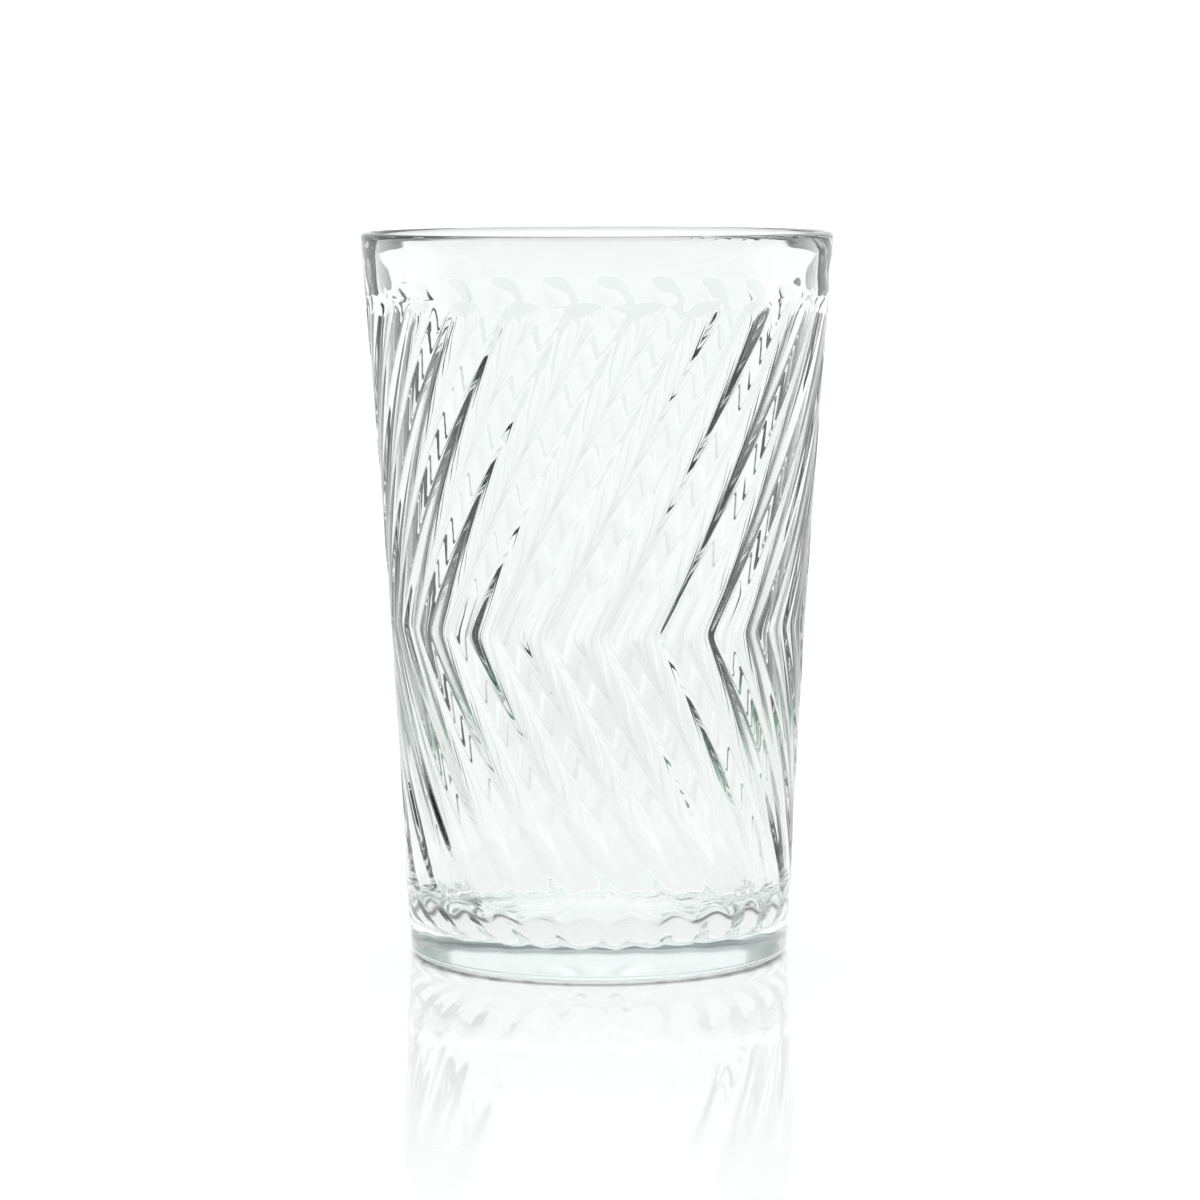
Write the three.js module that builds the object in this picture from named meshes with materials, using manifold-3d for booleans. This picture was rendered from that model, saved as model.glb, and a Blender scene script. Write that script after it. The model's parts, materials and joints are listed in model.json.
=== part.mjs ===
// A whisky tumbler with chevron flutes, pressed in one piece from clear soda-lime glass.
// Millimetres, +Z up, origin at the middle of the foot. Azimuth 0 is the front, at -Y, and grows towards +X.
// The one pressing is built as four zones that meet face to face on level planes.
import * as THREE from "three";
import { mergeVertices } from "three/addons/utils/BufferGeometryUtils.js";
import Module from "manifold-3d";

const DEGREE = Math.PI / 180;

// Outer body: a cone from the foot to the mouth, drawn in a little along the flutes
const HEIGHT = 116;
const MOUTH_DIAMETER = 75.5;
const FOOT_DIAMETER = 60.7; // of the straight side, carried down to the table
const WAIST = 0.4; // how far the fluted side is drawn in, half way along the flutes
const HEEL_ROUNDING = 1.6;

// Glass thickness
const LIP_WALL = 1.9; // the lip is a full round of this thickness
const FLUTE_TOP_WALL = 3; // from the lands in, at the tops of the flutes
const FLOOR_WALL = 4.2; // from the lands in, at the level of the floor
const BASE_THICKNESS = 4.5;
const FLOOR_CORNER = 10;

// Hollow under the base, so that the tumbler stands on a ring
const HOLLOW_DIAMETER = 44;
const HOLLOW_DEPTH = 0.6;

// Flutes: shallow scoops with plain lands between them, which run on from the plain band
const FLUTE_COUNT = 24;
const FLUTE_DEPTH = 0.75;
const FLUTE_SHARE = 0.55; // width of a flute, as a share of its pitch
const PLAIN_BAND = 10.4; // from the lip down to the blunt tops of the flutes
const ARCH_HEIGHT = 4; // height of a flute's blunt top
const BEND_HEIGHT = 54.2;
const BEND_ROUNDING = 0.8;
const TIP_HEIGHT = 10.7; // level of the flutes' pointed lower ends
const TIP_LENGTH = 12.5;
const UPPER_LEAN = 28.2 * DEGREE; // from the vertical, on the developed side
const LOWER_LEAN = 28 * DEGREE;
const BEND_AZIMUTH = -1.7 * DEGREE; // of one flute's bend

// Fineness of the facets
const FLUTE_FACETS = 4; // across a flute
const LAND_FACETS = 2; // across the land beside it
const ROW_STEP = 9; // along the straight stretches of the flutes
const ARC_STEPS = 4;

const FACETS_PER_PITCH = FLUTE_FACETS + LAND_FACETS;
const FACETS = FLUTE_COUNT * FACETS_PER_PITCH;
const FLUTE_TOP = HEIGHT - PLAIN_BAND;
const MOUTH_RADIUS = MOUTH_DIAMETER / 2;
const FOOT_RADIUS = FOOT_DIAMETER / 2;
const SIDE_SLOPE = (MOUTH_RADIUS - FOOT_RADIUS) / HEIGHT;

const wasm = await Module();
wasm.setup();

const glass = new THREE.MeshStandardMaterial({
  color: 0xe3ece9,
  roughness: 0.03,
  metalness: 0,
  transparent: true,
  opacity: 0.35,
});

// Radius of the outer side, where the lands lie: a cone, less a parabola along the flutes.
function sideRadius(z) {
  const along = THREE.MathUtils.clamp((z - TIP_HEIGHT) / (FLUTE_TOP - TIP_HEIGHT), 0, 1);
  return FOOT_RADIUS + SIDE_SLOPE * z - WAIST * 4 * along * (1 - along);
}

// Azimuth of one flute's middle line: two straight leans that meet in a rounded bend.
function fluteAzimuth(z) {
  const rise = z - BEND_HEIGHT;
  const lean = rise > 0 ? UPPER_LEAN : LOWER_LEAN;
  const farEnd = rise > 0 ? FLUTE_TOP : TIP_HEIGHT;
  const middleRadius = sideRadius((BEND_HEIGHT + farEnd) / 2);
  const run = Math.hypot(rise, BEND_ROUNDING) - BEND_ROUNDING;
  return BEND_AZIMUTH + (Math.tan(lean) * run) / middleRadius;
}

// Place across a pitch, for one of its facets: from -1 in the middle of a land, by way of 0 in the middle of
// the flute, towards 1 in the middle of the next land. Facets are even across the flute and across the land.
function acrossPitch(facet) {
  const fromFlute = facet - LAND_FACETS / 2;
  if (fromFlute < 0) {
    return THREE.MathUtils.mapLinear(facet, 0, LAND_FACETS / 2, -1, -FLUTE_SHARE);
  }
  if (fromFlute <= FLUTE_FACETS) {
    return THREE.MathUtils.mapLinear(fromFlute, 0, FLUTE_FACETS, -FLUTE_SHARE, FLUTE_SHARE);
  }
  return THREE.MathUtils.mapLinear(fromFlute - FLUTE_FACETS, 0, LAND_FACETS / 2, FLUTE_SHARE, 1);
}

// Depth of a flute below the lands: a parabola across it, with a blunt end above and a pointed one below.
function fluteDepth(z, across) {
  const intoArch = Math.max(0, 1 - (FLUTE_TOP - z) / ARCH_HEIGHT);
  const intoTip = Math.max(0, 1 - (z - TIP_HEIGHT) / TIP_LENGTH);
  const fullness = (1 - intoArch ** 4) * (1 - intoTip) ** 2;
  return FLUTE_DEPTH * Math.max(0, fullness - (across / FLUTE_SHARE) ** 2);
}

// Radius of the smooth inner wall: straight from the floor to the flute tops, and from there to the lip.
function innerRadius(z) {
  const atFloor = sideRadius(BASE_THICKNESS) - FLOOR_WALL;
  const atFluteTop = sideRadius(FLUTE_TOP) - FLUTE_TOP_WALL;
  const atLip = sideRadius(HEIGHT) - LIP_WALL;
  if (z < FLUTE_TOP) {
    return THREE.MathUtils.mapLinear(z, BASE_THICKNESS, FLUTE_TOP, atFloor, atFluteTop);
  }
  return THREE.MathUtils.mapLinear(z, FLUTE_TOP, HEIGHT, atFluteTop, atLip);
}

// Points on an arc of a circle from one angle to another, both ends included.
function arcPoints(centreX, centreZ, radius, from, to) {
  const curve = new THREE.EllipseCurve(centreX, centreZ, radius, radius, from, to, to < from);
  return curve.getPoints(ARC_STEPS);
}

// A profile turned about the Z axis. place gives each point of a facet's edge its azimuth, radius and level.
function turned(profile, place = (facet, radius, z) => [(facet / FACETS) * 2 * Math.PI, radius, z]) {
  const geometry = new THREE.LatheGeometry(profile, FACETS);
  const position = geometry.getAttribute("position");
  for (let i = 0; i < position.count; i++) {
    const level = position.getY(i);
    const plainRadius = Math.hypot(position.getX(i), position.getZ(i));
    const facet = Math.floor(i / profile.length) % FACETS;
    const [azimuth, radius, z] = place(facet, plainRadius, level);
    position.setXYZ(i, radius * Math.sin(azimuth), -radius * Math.cos(azimuth), z);
  }
  geometry.deleteAttribute("normal");
  geometry.deleteAttribute("uv");
  return geometry;
}

function solidOf(geometry) {
  const merged = mergeVertices(geometry);
  const vertProperties = merged.getAttribute("position").array;
  const triVerts = new Uint32Array(merged.index.array);
  return new wasm.Manifold(new wasm.Mesh({ numProp: 3, vertProperties, triVerts }));
}

function geometryOf(solid) {
  const mesh = solid.getMesh();
  const geometry = new THREE.BufferGeometry();
  geometry.setAttribute("position", new THREE.BufferAttribute(mesh.vertProperties, mesh.numProp));
  geometry.setIndex(new THREE.BufferAttribute(mesh.triVerts, 1));
  geometry.computeVertexNormals();
  return geometry;
}

function zone(name, geometry) {
  const mesh = new THREE.Mesh(geometry, glass);
  mesh.name = name;
  return mesh;
}

// The space that the plunger leaves: a cone with a flat floor and a rounded corner, carried past the mouth.
function cavity() {
  const cornerRadius = innerRadius(BASE_THICKNESS + FLOOR_CORNER) - FLOOR_CORNER;
  const cornerHeight = BASE_THICKNESS + FLOOR_CORNER;
  const corner = arcPoints(cornerRadius, cornerHeight, FLOOR_CORNER, -Math.PI / 2, 0);
  const profile = [
    new THREE.Vector2(0, BASE_THICKNESS),
    ...corner,
    new THREE.Vector2(innerRadius(FLUTE_TOP), FLUTE_TOP),
    new THREE.Vector2(innerRadius(HEIGHT), HEIGHT),
    new THREE.Vector2(0, HEIGHT),
  ];
  return solidOf(turned(profile));
}

// Levels from the bend out to the far end of a flute: close at the bend, even along the straight stretch,
// and closer again where the flute ends.
function fluteLevels(farEnd, endLength) {
  const way = Math.sign(farEnd - BEND_HEIGHT);
  const straightEnd = farEnd - way * endLength;
  const straightStart = BEND_HEIGHT + way * 2 * BEND_ROUNDING;
  const rows = Math.max(1, Math.ceil(Math.abs(straightEnd - straightStart) / ROW_STEP));
  const levels = [BEND_HEIGHT, BEND_HEIGHT + way * BEND_ROUNDING];
  for (let i = 0; i < rows; i++) {
    levels.push(THREE.MathUtils.lerp(straightStart, straightEnd, i / rows));
  }
  for (let i = 0; i <= ARC_STEPS; i++) {
    const out = Math.sin((i / ARC_STEPS) * (Math.PI / 2));
    levels.push(THREE.MathUtils.lerp(straightEnd, farEnd, out));
  }
  return levels;
}

// A solid stretch of the fluted side between its lowest and highest level.
function flutedSolid(levels) {
  const rising = [...levels].sort((a, b) => a - b);
  const side = rising.map((z) => new THREE.Vector2(sideRadius(z), z));
  const bottom = new THREE.Vector2(0, rising[0]);
  const top = new THREE.Vector2(0, rising.at(-1));
  const pitch = (2 * Math.PI) / FLUTE_COUNT;
  const carve = (facet, radius, z) => {
    const across = acrossPitch(facet % FACETS_PER_PITCH);
    const azimuth = pitch * (Math.floor(facet / FACETS_PER_PITCH) + across / 2);
    const carved = radius > 0 ? radius - fluteDepth(z, across) : 0;
    return [azimuth + fluteAzimuth(z), carved, z];
  };
  return solidOf(turned([bottom, ...side, top], carve));
}

// The solid bottom up to the level of the flutes' lower ends, on a flat ring with a hollow inside it.
function thickBase() {
  const lean = Math.atan(SIDE_SLOPE);
  const heelRadius = sideRadius(HEEL_ROUNDING) - HEEL_ROUNDING;
  const heel = arcPoints(heelRadius, HEEL_ROUNDING, HEEL_ROUNDING, -Math.PI / 2, -lean);
  const profile = [
    new THREE.Vector2(0, HOLLOW_DEPTH),
    new THREE.Vector2(HOLLOW_DIAMETER / 2 - HOLLOW_DEPTH, HOLLOW_DEPTH),
    new THREE.Vector2(HOLLOW_DIAMETER / 2, 0),
    ...heel,
    new THREE.Vector2(sideRadius(TIP_HEIGHT), TIP_HEIGHT),
    new THREE.Vector2(0, TIP_HEIGHT),
  ];
  return solidOf(turned(profile));
}

// The smooth ring above the flutes, with its lip rounded over the whole thickness.
function mouthBand() {
  const lipRadius = LIP_WALL / 2;
  const lipLevel = HEIGHT - lipRadius;
  const outerAtLip = sideRadius(lipLevel);
  const lip = arcPoints(outerAtLip - lipRadius, lipLevel, lipRadius, 0, Math.PI);
  const start = new THREE.Vector2(sideRadius(FLUTE_TOP), FLUTE_TOP);
  const innerFoot = new THREE.Vector2(innerRadius(FLUTE_TOP), FLUTE_TOP);
  return turned([start, ...lip, innerFoot, start.clone()]);
}

const hollow = cavity();
const base = thickBase().subtract(hollow);
const lowerWall = flutedSolid(fluteLevels(TIP_HEIGHT, TIP_LENGTH)).subtract(hollow);
const upperWall = flutedSolid(fluteLevels(FLUTE_TOP, ARCH_HEIGHT)).subtract(hollow);

const tumbler = new THREE.Group();
tumbler.add(
  zone("thick_base", geometryOf(base)),
  zone("lower_fluted_wall", geometryOf(lowerWall)),
  zone("upper_fluted_wall", geometryOf(upperWall)),
  zone("plain_mouth_band", mouthBand()),
);

export default tumbler;
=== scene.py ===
# %% [markdown]
# # A pressed-glass tumbler with chevron flutes
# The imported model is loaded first, as a fixed frame. It holds the same glass as four plain zones. In this
# lesson one smooth, finely divided glass body takes their place, and gets its material, a white studio
# and a camera. All sizes are in millimetres until a mesh is made, and a mesh is in metres.

# %% Load the frame
import json

import bpy
import numpy as np
from mathutils import Euler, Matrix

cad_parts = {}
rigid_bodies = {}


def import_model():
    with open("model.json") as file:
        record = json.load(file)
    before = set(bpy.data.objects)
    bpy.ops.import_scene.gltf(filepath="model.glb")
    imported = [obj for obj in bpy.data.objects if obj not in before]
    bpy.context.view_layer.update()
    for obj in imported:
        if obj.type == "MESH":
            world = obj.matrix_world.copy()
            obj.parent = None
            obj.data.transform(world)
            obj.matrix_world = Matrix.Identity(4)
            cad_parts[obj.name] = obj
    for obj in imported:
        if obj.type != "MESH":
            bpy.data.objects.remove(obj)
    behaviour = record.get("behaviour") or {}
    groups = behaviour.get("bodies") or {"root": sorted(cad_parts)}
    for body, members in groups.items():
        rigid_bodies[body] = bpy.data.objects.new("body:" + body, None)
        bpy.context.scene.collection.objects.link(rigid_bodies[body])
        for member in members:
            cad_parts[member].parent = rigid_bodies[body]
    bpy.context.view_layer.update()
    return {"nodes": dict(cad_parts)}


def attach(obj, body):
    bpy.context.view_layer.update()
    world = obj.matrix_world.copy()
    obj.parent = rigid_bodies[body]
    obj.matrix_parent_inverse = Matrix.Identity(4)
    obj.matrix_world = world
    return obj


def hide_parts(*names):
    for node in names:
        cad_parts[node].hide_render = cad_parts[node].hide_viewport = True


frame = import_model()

MM = 0.001
print("nodes in the frame:", sorted(frame["nodes"]))

# %% [markdown]
# ## Sizes
# A glassmaker would give the mould's sizes and the plunger's: the mould shapes the outside with its
# flutes, and the plunger shapes the smooth inside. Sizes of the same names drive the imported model, so the
# new body fills the same space. Only the wall at the flute tops, the section of the flutes and the ripple in
# the corner differ from it a little, to bend the light as in the photograph. All sizes are kept together,
# because every surface below depends on them.

# %% Sizes of the mould and the plunger
HEIGHT = 116.0
MOUTH_RADIUS = 37.75
FOOT_RADIUS = 30.35            # of the straight side, carried down to the table
WAIST = 0.4                    # how far the fluted side is drawn in, half way along the flutes
HEEL_ROUNDING = 1.6
HEEL_END = -0.06               # radians, where the heel's arc runs into the leaning side
HOLLOW_RADIUS = 22.0           # the shallow hollow under the base
HOLLOW_DEPTH = 0.6

LIP_WALL = 1.9                 # the lip is a full round of this thickness
FLUTE_TOP_WALL = 2.4
FLOOR_WALL = 4.2
BASE_THICKNESS = 4.5
FLOOR_CORNER = 10.0
CORNER_RIPPLE = 0.45           # the corner of the floor rises and falls with the flutes
RIPPLE_LEVEL = 7.0
RIPPLE_REACH = 3.0

FLUTE_COUNT = 24
FLUTE_DEPTH = 0.48
FLUTE_SHARE = 0.55             # of one pitch: the rest is the plain land between two flutes
FLUTE_POWER = 3.0              # 2 is a round scoop, more is flatter in the middle and steeper at its edges
LAND_HOLLOW = 0.065            # the lands are drawn in a little as the glass cools
LAND_EDGE = 0.09               # softness of the edge between land and flute
PLAIN_BAND = 10.4              # from the lip down to the tops of the flutes
ARCH_HEIGHT = 4.0
ARCH_POWER = 4                 # how bluntly a flute ends at its top
TIP_HEIGHT = 10.7              # level of the pointed lower ends
TIP_LENGTH = 12.5
TIP_POWER = 1.5                # how a flute's depth runs out to its pointed end
BEND_HEIGHT = 54.2
BEND_ROUNDING = 0.8
BEND_TURN = -1.7               # degrees, azimuth of one flute's bend
UPPER_LEAN = 28.2              # degrees from the vertical, on the developed side
LOWER_LEAN = 28.0

FLUTE_TOP = HEIGHT - PLAIN_BAND
LIP_LEVEL = HEIGHT - LIP_WALL / 2
print(f"glass {HEIGHT:.0f} mm tall, mouth {2 * MOUTH_RADIUS:.1f} mm, {FLUTE_COUNT} flutes")

# %% [markdown]
# ## The fluted side
# Each flute is a shallow scoop, about half as wide as its pitch, with a plain land beside it. It leans one
# way, bends to a chevron at mid height and leans back. A boolean cut with 24 swept cutters would give
# rough edges, and edges are what the eye reads in clear glass. So the side is written as a height field:
# how far the glass is cut in at each level and each place across a pitch.

# %% Formulas of the outside
def side_radius(z):
    """Radius of the lands: a cone that grows evenly from the foot to the mouth, less a parabola that
    draws it in along the flutes."""
    along = np.clip((z - TIP_HEIGHT) / (FLUTE_TOP - TIP_HEIGHT), 0, 1)
    return FOOT_RADIUS + (MOUTH_RADIUS - FOOT_RADIUS) * z / HEIGHT - WAIST * 4 * along * (1 - along)


def flute_turn(z):
    """Azimuth of a flute's middle line in radians: a steady lean above and below the bend, measured at
    the middle of each stretch. The distance from the bend is a hyperbola, so that the two leans meet in a
    small rounding."""
    rise = z - BEND_HEIGHT
    upper = np.tan(np.radians(UPPER_LEAN)) / side_radius((BEND_HEIGHT + FLUTE_TOP) / 2)
    lower = np.tan(np.radians(LOWER_LEAN)) / side_radius((BEND_HEIGHT + TIP_HEIGHT) / 2)
    run = np.hypot(rise, BEND_ROUNDING) - BEND_ROUNDING
    return np.radians(BEND_TURN) + np.where(rise > 0, upper, lower) * run


def fullness(z):
    """How full a flute's section is at a level: 1 along the flute, falling by ARCH_POWER to its blunt top and
    by TIP_POWER to its pointed lower end. Past both ends it goes on below 0, in a straight line."""
    top = np.clip(1 - (FLUTE_TOP - z) / ARCH_HEIGHT, 0, None)
    low = np.clip(1 - (z - TIP_HEIGHT) / TIP_LENGTH, 0, 1)
    arch = np.where(top < 1, 1 - top ** ARCH_POWER, -ARCH_POWER * (top - 1))
    past_tip = -2 * (TIP_HEIGHT - z) / TIP_LENGTH
    return np.where(z < TIP_HEIGHT, past_tip, arch * (1 - low) ** TIP_POWER)


def flute_relief(z, across):
    """Depth of the cut below the cone. Across a pitch (-1 to 1) the flute is a power of the distance from
    its middle, lowered with the fullness. The land beside it is a very shallow hollow. The deeper of the
    two holds, with a hyperbola between them for the soft edge, and no depth is below 0."""
    out = np.abs(across)
    full = fullness(z)
    flute = FLUTE_DEPTH * (full - (out / FLUTE_SHARE) ** FLUTE_POWER)
    into_land = np.clip((1 - out) / (1 - FLUTE_SHARE), 0, 1)
    land = LAND_HOLLOW * (1 - into_land ** 2) * np.clip(full, 0, 1)
    deeper = (flute + land + np.sqrt((flute - land) ** 2 + 4 * LAND_EDGE ** 2)) / 2
    return np.maximum(deeper, 0)


print(f"radius at the foot {side_radius(0):.1f}, at the flute tops {side_radius(FLUTE_TOP):.1f} mm")
print(f"cut in the middle of a flute {float(flute_relief(np.array(70.0), np.array(0.0))):.2f} mm")

# %% [markdown]
# ## The smooth inside
# The plunger leaves a plain cup: a straight cone, a rounded corner and a level floor. The wall is thickest
# at the floor and thins to the lip. At the corner the cup isn't quite plain: the glass there sets last, and
# the corner rises and falls a little with the flutes, which gives the lively ring of light above the heel.
# Inside and outside are joined over the round lip into one profile, from the middle of the foot to the
# middle of the floor, because clear glass has to be one closed skin: light is bent once where it goes in
# and once where it comes out.

# %% The profile of the whole glass
POLE_RADIUS = 0.5              # of the smallest ring round the axis
RIPPLE_POWER = 4               # how fast the ripple dies out towards the axis


def inner_radius(z):
    """Radius of the cup: straight from the floor to the flute tops, and straight again to the lip."""
    levels = [BASE_THICKNESS, FLUTE_TOP, HEIGHT]
    walls = [FLOOR_WALL, FLUTE_TOP_WALL, LIP_WALL]
    radii = [side_radius(level) - wall for level, wall in zip(levels, walls)]
    return np.interp(z, levels, radii)


def arc_rows(centre_radius, centre_level, radius, start, end, count):
    """Rows on an arc of a circle: centre plus radius times the cosine and the sine of an even angle."""
    angle = np.linspace(start, end, count)
    return np.stack([centre_radius + radius * np.cos(angle), centre_level + radius * np.sin(angle)], 1)


def outside_rows():
    """Rows of the outside: radius, level, share of the flutes' cut, rise of the ripple, turn of the columns.
    The hollow is a parabola, the heel and the lip are arcs, and the levels are close together where a flute
    bends or ends. The columns turn with the flutes."""
    hollow = np.linspace(POLE_RADIUS, HOLLOW_RADIUS, 7)
    under = np.stack([hollow, HOLLOW_DEPTH * (1 - (hollow / HOLLOW_RADIUS) ** 2)], 1)
    heel_radius = side_radius(HEEL_ROUNDING) - HEEL_ROUNDING
    heel = arc_rows(heel_radius, HEEL_ROUNDING, HEEL_ROUNDING, -np.pi / 2, HEEL_END, 8)
    levels = np.concatenate([
        np.linspace(HEEL_ROUNDING + 0.8, TIP_HEIGHT - 0.5, 4),
        np.linspace(TIP_HEIGHT, TIP_HEIGHT + 6, 16),
        np.linspace(TIP_HEIGHT + 6, BEND_HEIGHT - 6, 16)[1:],
        np.linspace(BEND_HEIGHT - 6, BEND_HEIGHT + 6, 25)[1:],
        np.linspace(BEND_HEIGHT + 6, FLUTE_TOP - 4.5, 19)[1:],
        np.linspace(FLUTE_TOP - 4.5, FLUTE_TOP + 0.6, 26)[1:],
        np.linspace(FLUTE_TOP + 0.6, LIP_LEVEL, 5)[1:],
    ])
    side = np.stack([side_radius(levels), levels], 1)
    lip = LIP_WALL / 2
    rim = arc_rows(side_radius(LIP_LEVEL) - lip, LIP_LEVEL, lip, 0, np.pi, 13)[1:]
    rows = np.concatenate([under, heel, side, rim])
    cut = np.zeros(len(rows))
    cut[len(under) + len(heel):][:len(side)] = 1
    turn = flute_turn(np.minimum(rows[:, 1], LIP_LEVEL))
    return np.column_stack([rows, cut, 0 * cut, turn])


def inside_rows():
    """Rows of the inside, with the same values: straight walls, an arc at the corner, a level floor. The ripple
    is a bell curve over the level and dies out towards the axis. The columns stand upright, so that the cone
    is true."""
    corner_level = BASE_THICKNESS + FLOOR_CORNER
    down = np.concatenate([
        np.linspace(LIP_LEVEL, FLUTE_TOP, 4)[1:],
        np.linspace(FLUTE_TOP, corner_level + 9, 9)[1:],
        np.linspace(corner_level + 9, corner_level, 10)[1:],
    ])
    wall = np.stack([inner_radius(down), down], 1)
    corner_radius = inner_radius(corner_level) - FLOOR_CORNER
    corner = arc_rows(corner_radius, corner_level, FLOOR_CORNER, 0, -np.pi / 2, 14)[1:]
    floor_radius = np.linspace(corner_radius, POLE_RADIUS, 10)[1:]
    level_floor = np.stack([floor_radius, np.full_like(floor_radius, BASE_THICKNESS)], 1)
    rows = np.concatenate([wall, corner, level_floor])
    bell = np.exp(-((rows[:, 1] - RIPPLE_LEVEL) / RIPPLE_REACH) ** 2)
    ripple = CORNER_RIPPLE * bell * np.clip(rows[:, 0] / corner_radius, 0, 1) ** RIPPLE_POWER
    upright = np.full(len(rows), flute_turn(LIP_LEVEL))
    return np.column_stack([rows, 0 * ripple, ripple, upright])


profile = np.concatenate([outside_rows(), inside_rows()])
print(f"profile of {len(profile)} rows, {int(profile[:, 2].sum())} of them fluted")

# %% [markdown]
# ## One closed glass body
# The profile goes round the axis, one flute pitch after another. Outside, the columns follow the lean of the
# flutes, so every edge of a flute lies along a line of vertices and stays crisp. Inside a pitch they are
# closer near the land, where the curve is tightest. The grid is worked out as whole arrays and goes into
# one mesh.

# %% The grid and its mesh
COLUMNS_PER_FLUTE = 22
CROWDING = 1.25                # 1 is even columns, more draws them towards the land


def glass_grid(rows):
    """Points, rows by columns. Azimuth: the pitch's middle, plus half a pitch times the place across, plus
    the row's turn. Radius: the profile's, less the relief where flutes are cut. Level: the profile's, plus
    a cosine over the pitch where the corner ripples, in step with the flutes."""
    place = 2 * np.arange(COLUMNS_PER_FLUTE) / COLUMNS_PER_FLUTE - 1
    place = np.sign(place) * (1 - (1 - np.abs(place)) ** CROWDING)
    across = np.tile(place, FLUTE_COUNT)
    pitch = 2 * np.pi / FLUTE_COUNT
    middle = np.repeat(np.arange(FLUTE_COUNT) * pitch, COLUMNS_PER_FLUTE)
    radius, level, cut, ripple, turn = (rows[:, i, None] for i in range(5))
    azimuth = middle + across * pitch / 2 + turn
    radius = radius - cut * flute_relief(level, across)
    level = level + ripple * np.cos(FLUTE_COUNT * (azimuth - flute_turn(level)))
    return np.stack([radius * np.sin(azimuth), -radius * np.cos(azimuth), level], -1)


def closed_shell(name, grid, first_pole, last_pole):
    """A mesh from a grid that closes round: quads between rows, and a fan of triangles at each pole."""
    rows, columns = grid.shape[:2]
    points = np.concatenate([[first_pole], grid.reshape(-1, 3), [last_pole]]) * MM
    column = np.arange(columns)
    following = (column + 1) % columns
    start = 1 + columns * np.arange(rows - 1)[:, None]
    quads = np.stack([start + column, start + following,
                      start + columns + following, start + columns + column], -1).reshape(-1, 4)
    top = 1 + columns * (rows - 1)
    first_fan = np.stack([0 * column, 1 + following, 1 + column], 1)
    last_fan = np.stack([0 * column + len(points) - 1, top + column, top + following], 1)
    mesh = bpy.data.meshes.new(name)
    mesh.from_pydata(points.tolist(), [], quads.tolist() + first_fan.tolist() + last_fan.tolist())
    mesh.polygons.foreach_set("use_smooth", np.ones(len(mesh.polygons), bool))
    mesh.update()
    piece = bpy.data.objects.new(name, mesh)
    bpy.context.scene.collection.objects.link(piece)
    return piece


glass = closed_shell("glass_body", glass_grid(profile), (0, 0, HOLLOW_DEPTH), (0, 0, BASE_THICKNESS))
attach(glass, "root")
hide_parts("thick_base", "lower_fluted_wall", "upper_fluted_wall", "plain_mouth_band")
triangles = sum(len(face.vertices) - 2 for face in glass.data.polygons)
print(f"glass body: {triangles} triangles")

# %% [markdown]
# ## Small helpers for materials
# Colours are given as sRGB hex values, as they are picked on a screen. Blender's sockets want linear light,
# so one function turns them. One more adds a node with its settings, its socket values and its links.

# %% Helpers for colours and nodes
def linear(hex_code):
    """Linear RGBA of an sRGB hex value: a straight foot near black and a power of 2.4 above it."""
    srgb = np.array([int(hex_code[i:i + 2], 16) for i in (1, 3, 5)]) / 255
    rgb = np.where(srgb <= 0.04045, srgb / 12.92, ((srgb + 0.055) / 1.055) ** 2.4)
    return (*rgb.tolist(), 1.0)


def add_node(tree, kind, values=None, links=None, **settings):
    """A new node: its own settings, the values of its sockets, and what is linked into them. A socket goes by
    its name, or by its number where a node has several of one name."""
    node = tree.nodes.new(kind)
    for name, setting in settings.items():
        setattr(node, name, setting)
    for socket, value in (values or {}).items():
        node.inputs[socket].default_value = value
    for socket, source in (links or {}).items():
        tree.links.new(source, node.inputs[socket])
    return node


def empty_material(name):
    """A material with a node tree that holds nothing yet."""
    material = bpy.data.materials.new(name)
    material.use_nodes = True
    material.node_tree.nodes.clear()
    return material


print("black, grey and white in linear light:",
      [round(linear(code)[0], 3) for code in ("#000000", "#808080", "#ffffff")])

# %% [markdown]
# ## Pressed soda-lime glass
# Common drinking glass, pressed in an iron mould and then fire polished. Its index is 1.52. The iron in the
# sand gives it a faint grey-green tint that shows only in thick places, so it is put into the volume. The
# cold mould leaves a very faint waviness, a few millimetres from crest to crest, and the polish is not quite
# even. The foot is stippled, so that it doesn't slip, and lets light in from the table where polished glass
# would only mirror.

# %% The glass material
WAVE = 7.0                     # mm from crest to crest of the mould's waviness
WAVE_HEIGHT = 0.004            # mm
POLISH_PATCH = 18.0            # mm across a patch of even polish
LEAST_POLISH = 0.012           # roughness of the least polished patch
STIPPLE_LEVEL = 0.8            # mm above the table, up to which the foot is stippled
STIPPLE_END = 1.3              # times that level, where the stipple has faded
STIPPLE = 0.15                 # roughness of the stippled foot

pressed_glass = empty_material("pressed_soda_lime_glass")
tree = pressed_glass.node_tree
place = add_node(tree, "ShaderNodeTexCoord")
wave = add_node(tree, "ShaderNodeTexNoise", {"Scale": 1 / (WAVE * MM), "Detail": 1.0},
                {"Vector": place.outputs["Object"]})
bump = add_node(tree, "ShaderNodeBump", {"Strength": 1.0, "Distance": WAVE_HEIGHT * MM},
                {"Height": wave.outputs["Fac"]})
patch = add_node(tree, "ShaderNodeTexNoise", {"Scale": 1 / (POLISH_PATCH * MM), "Detail": 2.0},
                 {"Vector": place.outputs["Object"]})
polish = add_node(tree, "ShaderNodeMapRange", {"To Min": 0.0, "To Max": LEAST_POLISH},
                  {"Value": patch.outputs["Fac"]})
up = add_node(tree, "ShaderNodeSeparateXYZ", None, {0: place.outputs["Object"]})
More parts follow.
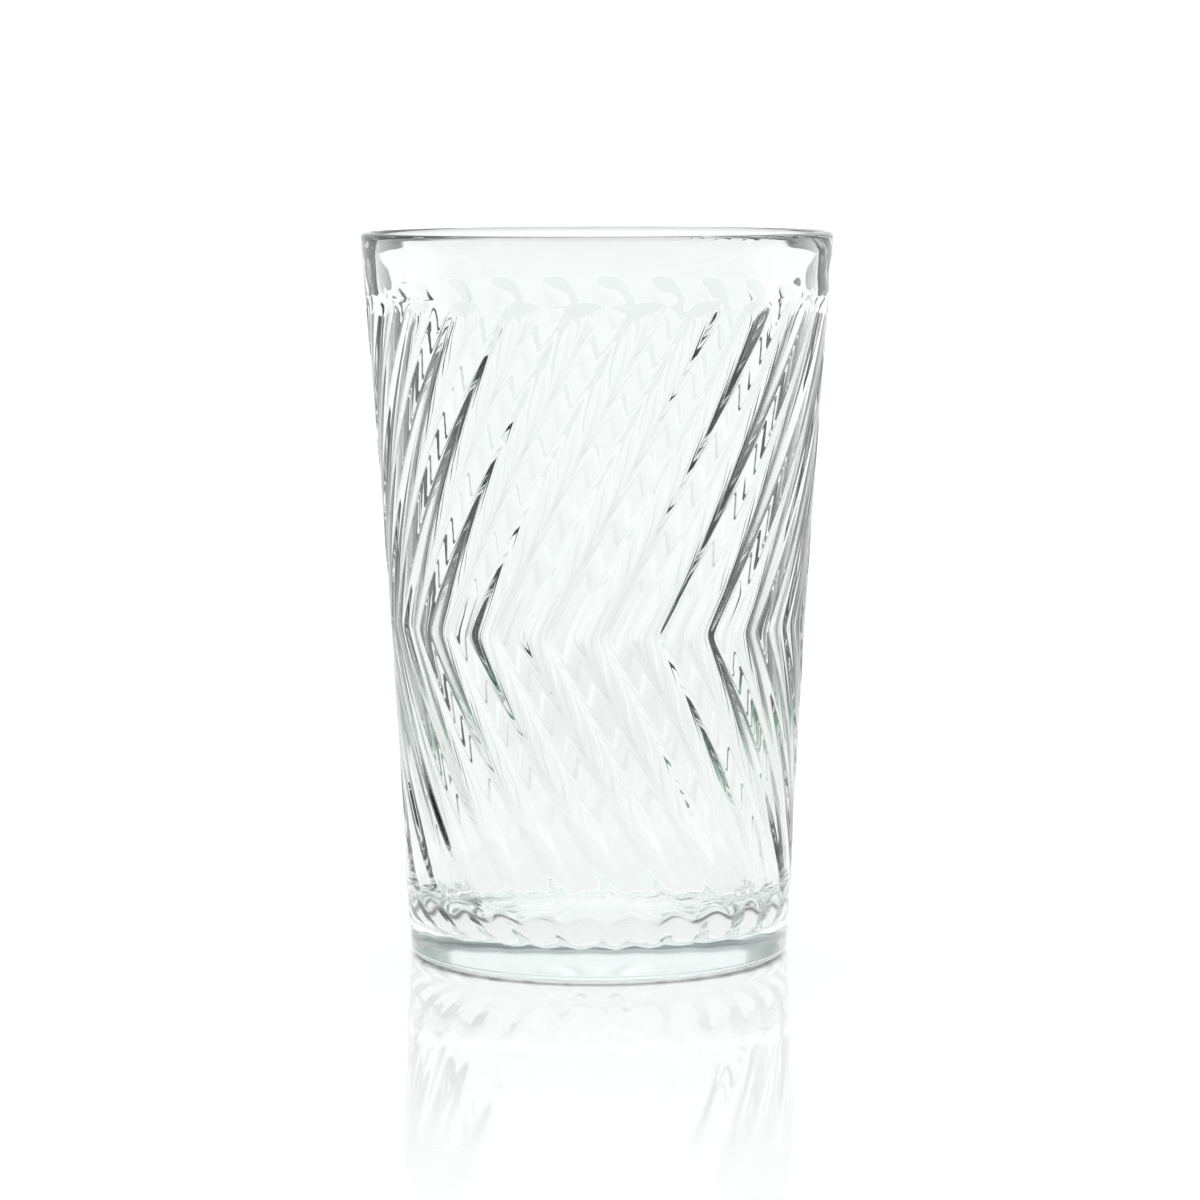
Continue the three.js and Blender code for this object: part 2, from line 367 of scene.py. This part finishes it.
stipple = add_node(tree, "ShaderNodeMapRange",
                   {"From Min": STIPPLE_LEVEL * MM, "From Max": STIPPLE_END * STIPPLE_LEVEL * MM,
                    "To Min": STIPPLE, "To Max": 0.0}, {"Value": up.outputs["Z"]})
matt = add_node(tree, "ShaderNodeMath", None, {0: polish.outputs["Result"], 1: stipple.outputs["Result"]},
                operation="MAXIMUM")
skin = add_node(tree, "ShaderNodeMixRGB", {1: linear("#fbfefd"), 2: linear("#ffffff")},
                {0: patch.outputs["Fac"]})
body = add_node(tree, "ShaderNodeBsdfPrincipled",
                {"IOR": 1.52, "Transmission Weight": 1.0},
                {"Base Color": skin.outputs["Color"], "Roughness": matt.outputs[0],
                 "Normal": bump.outputs["Normal"]})
tint = add_node(tree, "ShaderNodeVolumeAbsorption", {"Color": linear("#d3ede8"), "Density": 4.5})
add_node(tree, "ShaderNodeOutputMaterial", None,
         {"Surface": body.outputs["BSDF"], "Volume": tint.outputs["Volume"]})
glass.data.materials.append(pressed_glass)
print("glass material with", len(tree.nodes), "nodes")

# %% [markdown]
# ## The white table
# The tumbler stands on a light table: a glossy white sheet that glows from below. Its mirror image shows
# faintly under it and fades towards the viewer. A Principled surface gives both, the glow as emission and
# the mirror image as a soft gloss. The glow that the camera sees and the glow that lights the glass are set
# apart, so that neither the sheet nor the glass burns out. Round the foot a thin dark line of painted shadow
# is cut into the glow.

# %% The floor
TABLE_HALF = 6.0               # m, half the width of the sheet
TABLE_GAP = 0.05               # mm from the foot down to the sheet
GLOW_NEAR = 0.64               # as the camera sees it at the foot, beside the gloss
GLOW_FAR = 0.85                # as the camera sees it away from the foot
FAR_FROM = 220.0               # mm from the axis
GLOW_LIT = 0.75                # as it lights the glass
DIM_FROM = -60.0               # mm, from here to the front the table lights the glass less
DIM_TO = -300.0
DIM_SHARE = 0.15               # of the glow that is left there
BEHIND = 0.84                  # share of the glow that is left close behind the glass
BEHIND_TO = 500.0              # mm behind the axis, where the table has its full glow
UNDER_GLASS = 1.38             # gain of the glow under the glass and close to it
UNDER_TO = 110.0               # mm from the axis, where that gain has faded
POLISHED = 0.03                # roughness where the sheet is wiped to a mirror
POLISHED_TO = 110.0            # mm from the axis, up to which it is
DULL = 0.3                     # roughness where its gloss has turned dull
DULL_FROM = 220.0              # mm from the axis, from where it has
# The thin dark line round the foot is painted shadow: the table's glow is cut down along a ring, set a little
# to the front.
CONTACT_RADIUS = 28.7          # mm, the ring on which the foot rests
CONTACT_SHIFT = 1.8            # mm to the front, where the painted shadow line and the table's rings are centred, as the light comes from behind
PAINTED_SHADOW_WIDTH = 2.2            # mm, over which the painted shadow line fades
PAINTED_SHADOW_SHARE = 0.2            # of the glow that is left in the painted shadow line


def flat_sheet(name, half_width, level):
    """A square of four corners on a level plane, in metres."""
    corner = np.array([(-1, -1), (1, -1), (1, 1), (-1, 1)]) * half_width
    mesh = bpy.data.meshes.new(name)
    mesh.from_pydata(np.column_stack([corner, np.full(4, level)]).tolist(), [], [(0, 1, 2, 3)])
    sheet = bpy.data.objects.new(name, mesh)
    bpy.context.scene.collection.objects.link(sheet)
    return sheet


floor = flat_sheet("white_table", TABLE_HALF, -TABLE_GAP * MM)
acrylic = empty_material("white_acrylic_sheet")
tree = acrylic.node_tree
where = add_node(tree, "ShaderNodeNewGeometry").outputs["Position"]
spot = add_node(tree, "ShaderNodeVectorMath", {1: (0, -CONTACT_SHIFT * MM, 0)}, {0: where},
                operation="DISTANCE").outputs["Value"]
ahead = add_node(tree, "ShaderNodeSeparateXYZ", None, {0: where}).outputs["Y"]
seen = add_node(tree, "ShaderNodeLightPath").outputs["Is Camera Ray"]

# Painted shadow: along a thin ring round the foot the glow is cut down to a small share of itself.
beside = add_node(tree, "ShaderNodeMath", {1: CONTACT_RADIUS * MM}, {0: spot}, operation="SUBTRACT")
beside = add_node(tree, "ShaderNodeMath", None, {0: beside.outputs[0]}, operation="ABSOLUTE")
painted_contact_shadow = add_node(tree, "ShaderNodeMapRange",
                   {"From Min": 0.0, "From Max": PAINTED_SHADOW_WIDTH * MM, "To Min": PAINTED_SHADOW_SHARE, "To Max": 1.0},
                   {"Value": beside.outputs[0]}, interpolation_type="SMOOTHSTEP")
lit = add_node(tree, "ShaderNodeMapRange",
               {"From Min": DIM_TO * MM, "From Max": DIM_FROM * MM,
                "To Min": DIM_SHARE * GLOW_LIT, "To Max": GLOW_LIT}, {"Value": ahead})
shown = add_node(tree, "ShaderNodeMapRange",
                 {"From Min": CONTACT_RADIUS * MM, "From Max": FAR_FROM * MM,
                  "To Min": GLOW_NEAR, "To Max": GLOW_FAR}, {"Value": spot})
near = add_node(tree, "ShaderNodeMapRange",
                {"From Min": CONTACT_RADIUS * MM, "From Max": UNDER_TO * MM,
                 "To Min": UNDER_GLASS, "To Max": 1.0}, {"Value": spot})
behind = add_node(tree, "ShaderNodeMapRange",
                  {"From Min": 0.0, "From Max": BEHIND_TO * MM, "To Min": BEHIND, "To Max": 1.0},
                  {"Value": ahead})
near = add_node(tree, "ShaderNodeMath", None, {0: near.outputs[0], 1: behind.outputs[0]},
                operation="MULTIPLY")
lit = add_node(tree, "ShaderNodeMath", None, {0: lit.outputs[0], 1: near.outputs[0]}, operation="MULTIPLY")
glow = add_node(tree, "ShaderNodeMix", None, {0: seen, 2: lit.outputs[0], 3: shown.outputs[0]})
# The glow, darkened along the painted shadow line.
glow = add_node(tree, "ShaderNodeMath", None, {0: glow.outputs[0], 1: painted_contact_shadow.outputs[0]},
                operation="MULTIPLY")
dull = add_node(tree, "ShaderNodeMapRange",
                {"From Min": POLISHED_TO * MM, "From Max": DULL_FROM * MM, "To Min": POLISHED, "To Max": DULL},
                {"Value": spot})
surface = add_node(tree, "ShaderNodeBsdfPrincipled",
                   {"Base Color": linear("#595959"), "IOR": 1.25, "Emission Color": linear("#ffffff")},
                   {"Emission Strength": glow.outputs[0], "Roughness": dull.outputs[0]})
add_node(tree, "ShaderNodeOutputMaterial", None, {"Surface": surface.outputs["BSDF"]})
floor.data.materials.append(acrylic)
print("table of", round(2 * TABLE_HALF), "m")

# %% [markdown]
# ## Dark flags behind the glass
# Clear glass on white has no outline of its own. The dark lines in the flutes are painted shade: a dark sheet,
# called a flag, stands left and right behind the glass, just out of the picture, and every flank that bends
# the view outwards shows it as a dark line. Each flag here is an upright blind on an arc round the glass. Its
# slats are turned, so that they stop the light that a flank bends outwards, and let most of a straight view
# from another side through. The camera itself doesn't see the flags, and they cast no shadow and show in no
# reflection. They show only in a view that has gone in and out of glass.

# %% The flags
FLAG_RADIUS = 100.0            # mm from the glass's axis
FLAG_FOOT = 15.0               # mm above the table
FLAG_TOP = 98.0
FLAG_FROM = 26.0               # degrees to each side of straight back
FLAG_TO = 54.0
FLAG_FADE = 2.0                # degrees over which a flag's inner edge fades
SLAT_STEP = 0.25               # degrees from slat to slat
SLAT_DEPTH = 3.0               # mm
SLAT_TURN = 10.0               # degrees by which a slat is turned out from the radius
CROSSINGS = 2                  # surfaces of the glass between the eye and a flag
GREEN_SHADE_EDGE = 21.0              # mm, up to which a flag's painted shade is green


def flag(name, side):
    """Upright slats in a row on an arc round the axis: azimuth from FLAG_FROM to FLAG_TO, level from FLAG_FOOT
    to FLAG_TOP. Each goes outwards from the arc, turned away from the middle by SLAT_TURN."""
    azimuth = side * np.radians(np.arange(FLAG_FROM, FLAG_TO, SLAT_STEP))
    along = azimuth + side * np.radians(SLAT_TURN)
    near = FLAG_RADIUS * np.stack([np.sin(azimuth), np.cos(azimuth)], 1)
    far = near + SLAT_DEPTH * np.stack([np.sin(along), np.cos(along)], 1)
    plan = np.concatenate([near, far, far, near])
    level = np.repeat([FLAG_FOOT, FLAG_FOOT, FLAG_TOP, FLAG_TOP], len(azimuth))
    corner = np.arange(4 * len(azimuth)).reshape(4, -1).T
    mesh = bpy.data.meshes.new(name)
    mesh.from_pydata((np.column_stack([plan, level]) * MM).tolist(), [], corner.tolist())
    blind = bpy.data.objects.new(name, mesh)
    bpy.context.scene.collection.objects.link(blind)
    blind.visible_camera = False
    blind.visible_diffuse = False
    blind.visible_glossy = False
    blind.visible_shadow = False
    return blind


def painted_shade_for_flags():
    """Painted shade for the flags: a dark emission that fades in from the flag's inner edge, with a green band
    along its foot that paints green-grey shade into the low flutes. It shows only through at least two
    crossings of glass.
    """
    painted_shade_flags = empty_material("painted_shade_flag_material")
    tree = painted_shade_flags.node_tree
    where = add_node(tree, "ShaderNodeSeparateXYZ", None,
                     {0: add_node(tree, "ShaderNodeNewGeometry").outputs["Position"]})
    turn = add_node(tree, "ShaderNodeMath", None, {0: where.outputs["X"], 1: where.outputs["Y"]},
                    operation="ARCTAN2")
    turn = add_node(tree, "ShaderNodeMath", None, {0: turn.outputs[0]}, operation="ABSOLUTE")
    cover = add_node(tree, "ShaderNodeMapRange",
                     {"From Min": np.radians(FLAG_FROM), "From Max": np.radians(FLAG_FROM + FLAG_FADE)},
                     {"Value": turn.outputs[0]})
    path = add_node(tree, "ShaderNodeLightPath")
    through = add_node(tree, "ShaderNodeMath", {1: CROSSINGS - 0.5}, {0: path.outputs["Transmission Depth"]},
                       operation="GREATER_THAN")
    cover = add_node(tree, "ShaderNodeMath", None, {0: cover.outputs[0], 1: through.outputs[0]},
                     operation="MULTIPLY")
    low = add_node(tree, "ShaderNodeMath", {1: GREEN_SHADE_EDGE * MM}, {0: where.outputs["Z"]},
                   operation="LESS_THAN")
    # Painted shade: near black above the green band, green-grey along the flag's foot.
    colour = add_node(tree, "ShaderNodeMixRGB", {1: linear("#0a1a1a"), 2: linear("#5c8f76")},
                      {0: low.outputs[0]})
    dark = add_node(tree, "ShaderNodeEmission", None, {"Color": colour.outputs[0]})
    clear = add_node(tree, "ShaderNodeBsdfTransparent")
    mixed = add_node(tree, "ShaderNodeMixShader", None,
                     {0: cover.outputs[0], 1: clear.outputs[0], 2: dark.outputs[0]})
    add_node(tree, "ShaderNodeOutputMaterial", None, {"Surface": mixed.outputs[0]})
    return painted_shade_flags


painted_shade_flags = painted_shade_for_flags()
for name, side in (("left_flag", -1), ("right_flag", 1)):
    flag(name, side).data.materials.append(painted_shade_flags)
print(f"flags from {FLAG_FROM:.0f} to {FLAG_TO:.0f} degrees, up to {FLAG_TOP:.0f} mm")

# %% [markdown]
# ## Soft white light
# The light comes from behind and from above: a white room there, which fades at the sides to a dim one in
# front, so that reflections on the near side don't wash out the view through the glass. The camera itself
# sees plain white all round.

# %% The room
BACK_LIGHT = 1.02
FRONT_LIGHT = 0.06
SHOWN_LIGHT = 1.2              # as the camera sees the room
DIM_SIDE = 0.0                 # depth part of a direction, below which the room is dim
BRIGHT_SIDE = 0.45             # and above which it is bright
LOW_SIDE = 0.2                 # upright part of a direction, above which the front grows brighter
HIGH_SIDE = 0.5                # and above which the room is bright all round

world = bpy.data.worlds.new("white_room")
bpy.context.scene.world = world
world.use_nodes = True
tree = world.node_tree
tree.nodes.clear()
way = add_node(tree, "ShaderNodeSeparateXYZ", None,
               {0: add_node(tree, "ShaderNodeTexCoord").outputs["Generated"]})
depth = add_node(tree, "ShaderNodeMapRange",
                 {"From Min": DIM_SIDE, "From Max": BRIGHT_SIDE, "To Min": FRONT_LIGHT, "To Max": BACK_LIGHT},
                 {"Value": way.outputs["Y"]})
height = add_node(tree, "ShaderNodeMapRange", {"From Min": LOW_SIDE, "From Max": HIGH_SIDE},
                  {"Value": way.outputs["Z"]})
room = add_node(tree, "ShaderNodeMix", {3: BACK_LIGHT}, {0: height.outputs[0], 2: depth.outputs[0]})
seen = add_node(tree, "ShaderNodeLightPath").outputs["Is Camera Ray"]
shown = add_node(tree, "ShaderNodeMix", {3: SHOWN_LIGHT}, {0: seen, 2: room.outputs[0]})
tone = add_node(tree, "ShaderNodeMixRGB", {1: linear("#fcfffe"), 2: linear("#ffffff")}, {0: seen})
light = add_node(tree, "ShaderNodeBackground", None,
                 {"Color": tone.outputs[0], "Strength": shown.outputs[0]})
add_node(tree, "ShaderNodeOutputWorld", None, {"Surface": light.outputs[0]})
bpy.context.scene.view_settings.view_transform = "Standard"
print("room light: back", BACK_LIGHT, "front", FRONT_LIGHT)

# %% [markdown]
# ## The camera
# The picture was taken with a long lens, a little above the rim, about 0.7 m away. These values were found by
# fitting a camera to the ellipses of the rim and the foot and to the two straight sides. A ray goes through
# many surfaces in clear glass, so it may bend often before it is given up.

# %% The camera
CAMERA_DISTANCE = 720.6        # mm in front of the axis
CAMERA_HEIGHT = 132.1
FRAME_WIDTH = 36.0             # mm
FOCAL_LENGTH = 135.2           # mm
LOOK_DOWN = 5.957              # degrees
LOOK_RIGHT = 0.026
ROLL = -0.16

camera_data = bpy.data.cameras.new("camera")
camera_data.sensor_width = FRAME_WIDTH
camera_data.lens = FOCAL_LENGTH
camera_data.clip_start = 0.01
camera = bpy.data.objects.new("camera", camera_data)
bpy.context.scene.collection.objects.link(camera)
camera.location = np.array([0, -CAMERA_DISTANCE, CAMERA_HEIGHT]) * MM
aim = Euler(np.radians([90 - LOOK_DOWN, 0, -LOOK_RIGHT])).to_matrix()
camera.rotation_euler = (aim @ Euler((0, 0, np.radians(ROLL))).to_matrix()).to_euler()
bpy.context.scene.camera = camera
bpy.context.scene.cycles.max_bounces = 64
bpy.context.scene.cycles.transmission_bounces = 64
bpy.context.scene.cycles.glossy_bounces = 12
print("camera at", np.round(camera.location, 4), "lens", FOCAL_LENGTH)
